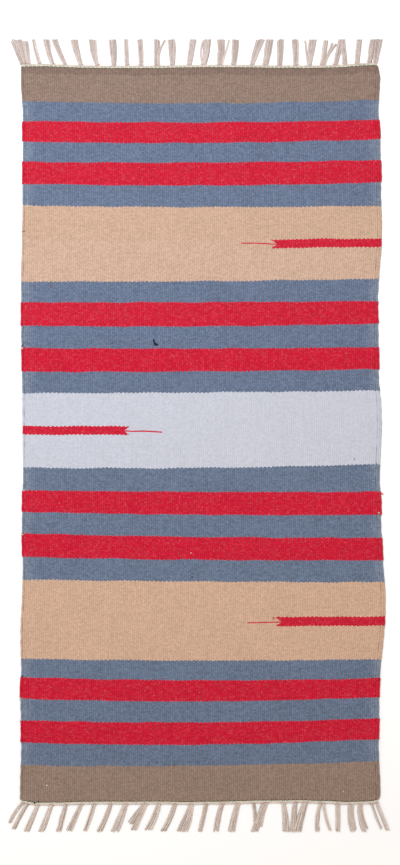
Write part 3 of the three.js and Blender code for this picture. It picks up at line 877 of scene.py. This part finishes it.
def build_cloth(material):
    """The ribbed cloth, closed, with ribs on both faces. Its sides end inside the selvedges."""
    rows = cloth_rows()
    top_ribs, top_rises = rib_columns(RIB_TOP)
    under_ribs, under_rises = rib_columns(RIB_UNDERSIDE)
    ribs = np.concatenate([top_ribs, under_ribs[::-1]])
    rises = np.concatenate([top_rises, under_rises[::-1]])
    is_top = np.arange(len(ribs)) < len(top_ribs)

    # Alternate ribs start and end apart
    parity = np.mod(np.floor(ribs), 2)
    near_top = np.clip(1 - rows / STAGGERED_PICKS, 0, 1)[:, None]
    near_bottom = np.clip(1 - (LAST_PICK - rows) / STAGGERED_PICKS, 0, 1)[:, None]
    picks = rows[:, None] + END_STAGGER * (parity * near_top - (1 - parity) * near_bottom)
    x, y = weave_points(ribs, picks)

    uneven = waver(RIB_WAVER, np.floor(ribs), picks) + waver(RELIEF_WAVER, x, y)
    end_drop = END_DROP * np.isin(rows, (rows[0], rows[-1]))[:, None]
    top_z = CLOTH_THICKNESS - RIB_RELIEF + RIB_RELIEF * rises * (1 + uneven) - end_drop
    under_z = RIB_RELIEF * (1 - rises) * np.ones_like(x)
    z = np.where(is_top, top_z, under_z)

    faces = tube_faces(0, len(rows), len(ribs))
    cloth = new_mesh("kilim_cloth", np.stack([x, y, z], axis=-1).reshape(-1, 3), faces, material)
    store(cloth, "rib", np.tile(ribs, len(rows)))
    store(cloth, "pick", picks.ravel())
    return cloth


def build_selvedge(side, material):
    """The outer warp cord of a side, wrapped by the weft: one bead for every second pick."""
    sides = 8
    per_bead = 3
    outward = OUTWARD[side]
    rib = 0.5 if side == "left" else RIBS - 0.5
    parity = math.floor(rib) % 2
    rings = int(LAST_PICK // 2) * per_bead + 1
    number = np.arange(rings)
    picks = np.minimum(LAST_PICK, parity + 2 * number / per_bead)
    x, y = weave_points(rib, picks)

    # Beads swell in the middle and bulge outward, each to its own size
    bulge = np.sin(math.pi * (number % per_bead) / per_bead) ** 0.7
    rng = random.Random(31 + parity)
    bead_sizes = [rng.uniform(0.7, 1.3) for _ in range(rings // per_bead + 1)]
    stand = BEAD_BULGE * bulge * np.repeat(bead_sizes, per_bead)[:rings]
    size = SELVEDGE_RADII[0] + (SELVEDGE_RADII[1] - SELVEDGE_RADII[0]) * bulge
    angles = math.tau * np.arange(sides) / sides
    stand = stand[:, None] * np.maximum(0, outward * np.cos(angles))
    across = size[:, None] * np.cos(angles) + outward * stand
    points = np.stack([
        x[:, None] + across,
        np.broadcast_to(y[:, None], across.shape),
        CLOTH_THICKNESS / 2 + size[:, None] * np.sin(angles),
    ], axis=-1)
    faces = [face[::-1] for face in tube_faces(0, rings, sides)]
    selvedge = new_mesh(f"selvedge_{side}", points.reshape(-1, 3), faces, material)
    seen_ribs = rib + 0.42 * np.cos(angles)
    store(selvedge, "rib", np.tile(seen_ribs, rings))
    store(selvedge, "pick", np.repeat(picks, sides))
    return selvedge


def lying_thread(x, y, length, bend, turn, height, droop):
    """The path of a short thread that lies along the weft, and the place along it from -0.5 to 0.5."""
    t = np.linspace(-0.5, 0.5, 7)
    return np.stack([x + length * t, y + bend * np.sin(turn * t), height - droop * t * t], axis=1), t


def build_tails(colour, material):
    """The weft ends tucked in at the selvedges and the neps on the face that have one colour."""
    yarns = Yarns()
    for side, inset, height, shade, length in TAILS:
        if shade == colour:
            pick = np.interp(-height, -HEIGHTS[:, 1], START_PICKS)
            edge, _ = weave_points(0 if side == "left" else RIBS, pick)
            inward = -OUTWARD[side]
            x = edge + inward * inset
            path, _ = lying_thread(x, height, inward * length, bend=0.8, turn=3, height=3.9, droop=3.2)
            yarns.plied(path, radius=1.15, pitch=5.0, phase=0.4, sides=6, open_end=0.3)
    for column, row, shade, length in NEPS:
        if shade == colour:
            x, y = photo_to_rug(column, row)
            path, t = lying_thread(x, y, length, bend=0.5, turn=4, height=4.1, droop=2.0)
            roundness = np.sqrt(np.maximum(1 - 4 * t * t, 0))
            yarns.tube(path, radii=0.25 + 0.85 * roundness, sides=6)
    return yarns.object(f"weft_ends_{colour}", material)


def build_dark_thread(material):
    """The dark nub of yarn, which stands up at one end and lies down along the weft."""
    corners = np.array([(*photo_to_rug(column, row), z) for column, row, z in DARK_THREAD])
    t = np.linspace(0, len(corners) - 1, 18)
    path = np.stack([np.interp(t, range(len(corners)), corners[:, k]) for k in range(3)], axis=1)
    radii = np.interp(t, *zip(*DARK_THREAD_RADII))
    yarns = Yarns()
    yarns.plied(path, radii, pitch=5.5, phase=0.6, plies=3, sides=7, open_end=0.1)
    return yarns.object("dark_thread_end", material)


# The ends


def build_header(end, materials):
    """The cream cord twined along the end, with a grain to two ribs, and the plain binder outside it."""
    outward = OUTWARD[end]
    first = 0.5
    ribs = np.arange(first, RIBS - 0.4, 0.25)
    x, y = weave_points(ribs, 0.0 if end == "top" else LAST_PICK)
    grain = np.abs(np.sin(math.pi / 2 * (ribs - first * outward)))
    cord_radius = CORD_RADIUS[end] * (1 - CORD_NARROWING + CORD_NARROWING * grain)
    made = []
    for name, distance, radius, pitch in (
        ("cord", CORD_PLACE[end], cord_radius, 8.1),
        ("binder", BINDER_PLACE, BINDER_RADIUS, 9.5),
    ):
        z = BINDER_RADIUS + HEADER_LIFT[end] + waver(CORD_LIFT_WAVER, x, distance)
        path = np.stack([x, y + outward * (distance + waver(CORD_WAVER, x, distance)), z], axis=1)
        yarns = Yarns()
        yarns.plied(path, radius, pitch, phase=0.0, sides=8)
        made.append(yarns.object(f"header_{name}_{end}", materials[name]))
    return made


def yarn_places(count, width, rng):
    """Sideways places of a bundle's yarns at its tip, where they cling together in locks."""
    places = [0.0]
    while len(places) < count:
        new_lock = rng.random() < 0.42
        gap = rng.uniform(2.3, 3.4) if new_lock else rng.uniform(1.2, 1.8)
        places.append(places[-1] + gap)
    places = np.array(places) - places[-1] / 2
    return places * max(width / 2 - YARN_RADIUS, 0.1) / max(places[-1], 0.1)


def yarn_offsets(count, root_width, tip_width, t, rng):
    """How far a bundle's yarns lie to the side: close together at the waist, in locks at the tip."""
    gathered = 0.06
    waist_place = 0.07
    waist_length = 0.09
    narrowing = 0.22
    root_spread = 0.25
    ease = np.sin(math.pi / 2 * np.clip((t - gathered) / (1 - gathered), 0, 1))
    waist = 1 - narrowing * np.clip(1 - np.abs(t - waist_place) / waist_length, 0, 1)
    waist = waist + root_spread * np.clip(1 - t / (waist_place / 2), 0, 1)
    roots = np.linspace(-1, 1, count) * (root_width / 2 - YARN_RADIUS)
    tips = yarn_places(count, tip_width, rng)
    offsets = roots[:, None] * (1 - ease) * waist + tips[:, None] * ease

    # Each yarn waves on its own, less towards the tip, and an unruly one waves more
    for k in range(count):
        size = rng.uniform(0.2, 0.55)
        unruly = rng.random() < 0.12
        size *= 2.2 if unruly else 1.0
        waves, phase = rng.uniform(0.8, 2.2), rng.uniform(0, math.tau)
        offsets[k] += size * ease * (1 - 0.5 * t) * np.sin(phase + waves * math.tau * t)
    return offsets


def yarn_lifts(offsets):
    """How far every second yarn is lifted by its neighbours, where they lie too close to it."""
    lifts = np.zeros_like(offsets)
    for k in range(1, len(offsets), 2):
        for mate in offsets[k - 1:k + 2:2]:
            room = 4 * YARN_RADIUS**2 - np.abs(offsets[k] - mate)**2
            lifts[k] = np.maximum(lifts[k], np.sqrt(np.maximum(room, 0)))
    return lifts


def raised(t, by, over):
    """How far a yarn is raised at its root, over a share of its length."""
    return by * np.clip(1 - t / over, 0, 1)


def add_bundle(yarns, end, bundle, t, rng):
    """A bundle of plied warp yarns, drawn in at the knot, loose at the tip and often with painted shadow on
    its +X side.
    """
    root_x, root_width, bow_out, tip_x, tip_width, short = bundle
    outward = OUTWARD[end]
    count = max(3, round((root_width + tip_width) / 2 * YARNS_PER_WIDTH))
    root = end_point(end, root_x, FRINGE_ROOT)
    tip = np.array([tip_x, outward * (FRINGE_REACH - short), 0.0])
    centre = root + (tip - root) * t[:, None]
    centre[:, 0] += bow_out * 4 * t * (1 - t)
    offsets = yarn_offsets(count, root_width, tip_width, t, rng)
    lifts = yarn_lifts(offsets)
    # Painted shadow: many bundles get darker yarns on their +X side, the side away from the lamp
    has_shaded_side = rng.random() < 0.65
    side_shade_strength = rng.uniform(0.4, 1.0) if has_shaded_side else 0.0
    painted_side_shades = [0.0] * (count - 2) + [0.4 * side_shade_strength, side_shade_strength]
    for k in range(count):
        trim = rng.uniform(0.0, 1.6)
        cut_short = rng.random() < 0.08
        trim += rng.uniform(2.0, 5.0) if cut_short else 0.0
        x = centre[:, 0] + offsets[k]
        y = centre[:, 1] - outward * trim * t
        ripple = 0.12 * np.sin(9 * t + 2 * k)
        z = YARN_RADIUS + raised(t, by=1.0, over=0.25) + 0.85 * lifts[k] + ripple
        pitch, phase = rng.uniform(6.2, 7.6), rng.uniform(0, math.tau)
        path = np.stack([x, y, z], axis=1)
        yarns.plied(path, YARN_RADIUS, pitch, phase, sides=4, open_end=0.45, painted_side_shade=painted_side_shades[k])


def add_stray(yarns, end, stray, t):
    """A single yarn that strays from its bundle, as two strands side by side."""
    root_x, middle_x, tip_x, short = stray
    outward = OUTWARD[end]
    root_y = end_point(end, root_x, FRINGE_ROOT)[1]
    x = root_x * (1 - t) ** 2 + (4 * middle_x - root_x - tip_x) * t * (1 - t) + tip_x * t**2
    y = root_y + (outward * (FRINGE_REACH - short) - root_y) * t
    ripple = 0.3 * np.sin(7 * t) ** 2
    z = YARN_RADIUS + raised(t, by=2.2, over=0.35) + ripple
    for aside in (-0.85, 0.85):
        path = np.stack([x + aside, y - outward * aside * t, z], axis=1)
        yarns.plied(path, radius=1.2, pitch=8.5, phase=root_x + aside, open_end=0.3)


def build_fringe(end, material):
    """The bundles of one end and the yarns that stray from them."""
    rng = random.Random(FRINGE_SEED[end])
    t = np.linspace(0, 1, 38)
    yarns = Yarns()
    for bundle in BUNDLES[end]:
        add_bundle(yarns, end, bundle, t, rng)
    for stray in STRAYS[end]:
        add_stray(yarns, end, stray, t)
    return yarns.object(f"fringe_yarns_{end}", material)


def build_knots(end, material):
    """A reddish yarn caught round the root of each bundle, arched over it beside the header."""
    rng = random.Random(KNOT_SEED[end])
    span = KNOT_SPAN[end]
    t = np.linspace(-1, 1, 15)
    top = 2 * BINDER_RADIUS + HEADER_LIFT[end] + KNOT_RADIUS
    z = top - (top - KNOT_RADIUS) * np.abs(t) ** 4
    yarns = Yarns()
    for root_x, root_width, *_ in BUNDLES[end]:
        overlap = rng.uniform(0.0, 1.2)
        half_width = (root_width / 2 + overlap) * span
        spare = root_width / 2 * (1 - span) + 0.5
        droop = rng.uniform(0.6, 3.0)
        tilt = rng.uniform(-0.8, 0.8)
        centre = end_point(end, root_x + rng.uniform(-1, 1) * spare, KNOT_PLACE[end])
        x = centre[0] + half_width * t
        y = centre[1] + OUTWARD[end] * (droop * np.abs(t) ** 2.5 + tilt * t)
        path = np.stack([x, y, z], axis=1)
        yarns.plied(path, KNOT_RADIUS, pitch=3.6, phase=root_x, sides=6, open_end=0.2)
    return yarns.object(f"knots_{end}", material)


# The room


def build_floor(material):
    """A wide even floor, just under the rug."""
    size = 40000.0
    z = -0.2
    corners = [(-size, -size, z), (size, -size, z), (size, size, z), (-size, size, z)]
    floor = new_mesh("floor", corners, [(0, 1, 2, 3)], material, smooth=False)


def build_key_light():
    """A soft square lamp that shines down on the rug."""
    data = bpy.data.lights.new("key", "AREA")
    data.size = 1.0
    data.energy = 44.0
    data.color = (0.78, 0.91, 1.0)
    light = new_object("key", data)
    light.location = KEY_PLACE
    light.rotation_mode = "QUATERNION"
    light.rotation_quaternion = (Vector(KEY_TARGET) - Vector(KEY_PLACE)).to_track_quat("-Z", "Y")
    light.visible_camera = False


def build_room():
    """The floor, the lamp, and even light from all round."""
    build_floor(plain_material("floor_paint", FLOOR_PAINT))
    build_key_light()
    world = bpy.data.worlds.new("studio")
    world.use_nodes = True
    background = world.node_tree.nodes["Background"]
    background.inputs["Color"].default_value = (1.0, 0.88, 0.79, 1.0)
    background.inputs["Strength"].default_value = 0.77
    bpy.context.scene.world = world
    bpy.context.scene.view_settings.view_transform = "Standard"
    bpy.context.scene.view_settings.look = "None"


def build_camera():
    """Straight down on the middle of the photograph's frame, with a long lens."""
    x, y = photo_to_rug(PHOTO_WIDTH / 2, PHOTO_HEIGHT / 2)
    data = bpy.data.cameras.new("camera")
    data.lens = 85
    data.sensor_width = 36
    data.clip_end = 50
    distance = PHOTO_HEIGHT * PIXEL * MM * data.lens / data.sensor_width
    camera = new_object("camera", data)
    camera.location = (x * MM, y * MM, distance)
    bpy.context.scene.camera = camera


def main():
    build_camera()
    weave = weave_material()
    header_yarns = {
        "cord": yarn_material("header_yarn", HEADER_YARN),
        "binder": yarn_material("binder_yarn", BINDER_YARN),
    }
    knot_yarn = yarn_material("knot_yarn", KNOT_YARN)
    threads = {colour: yarn_material(f"thread_{colour}", shade) for colour, shade in THREADS.items()}
    cloth = build_cloth(weave)
    trims = [
        build_selvedge("left", weave),
        build_selvedge("right", weave),
        build_dark_thread(threads["dark"]),
        *(build_tails(colour, threads[colour]) for colour in THREADS),
    ]
    ends = {}
    for end in ("top", "bottom"):
        fringe_yarn = yarn_material(f"fringe_yarn_{end}", FRINGE_YARNS[end], FRINGE_ROOT_SHADE)
        ends[end] = [
            build_fringe(end, fringe_yarn),
            build_knots(end, knot_yarn),
            *build_header(end, header_yarns),
        ]
    for piece in [cloth, *trims, *ends["top"], *ends["bottom"]]:
        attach(piece, "root")
    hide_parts("kilim_body")
    for end, pieces in ends.items():
        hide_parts(f"fringe_{end}")
    build_room()


main()
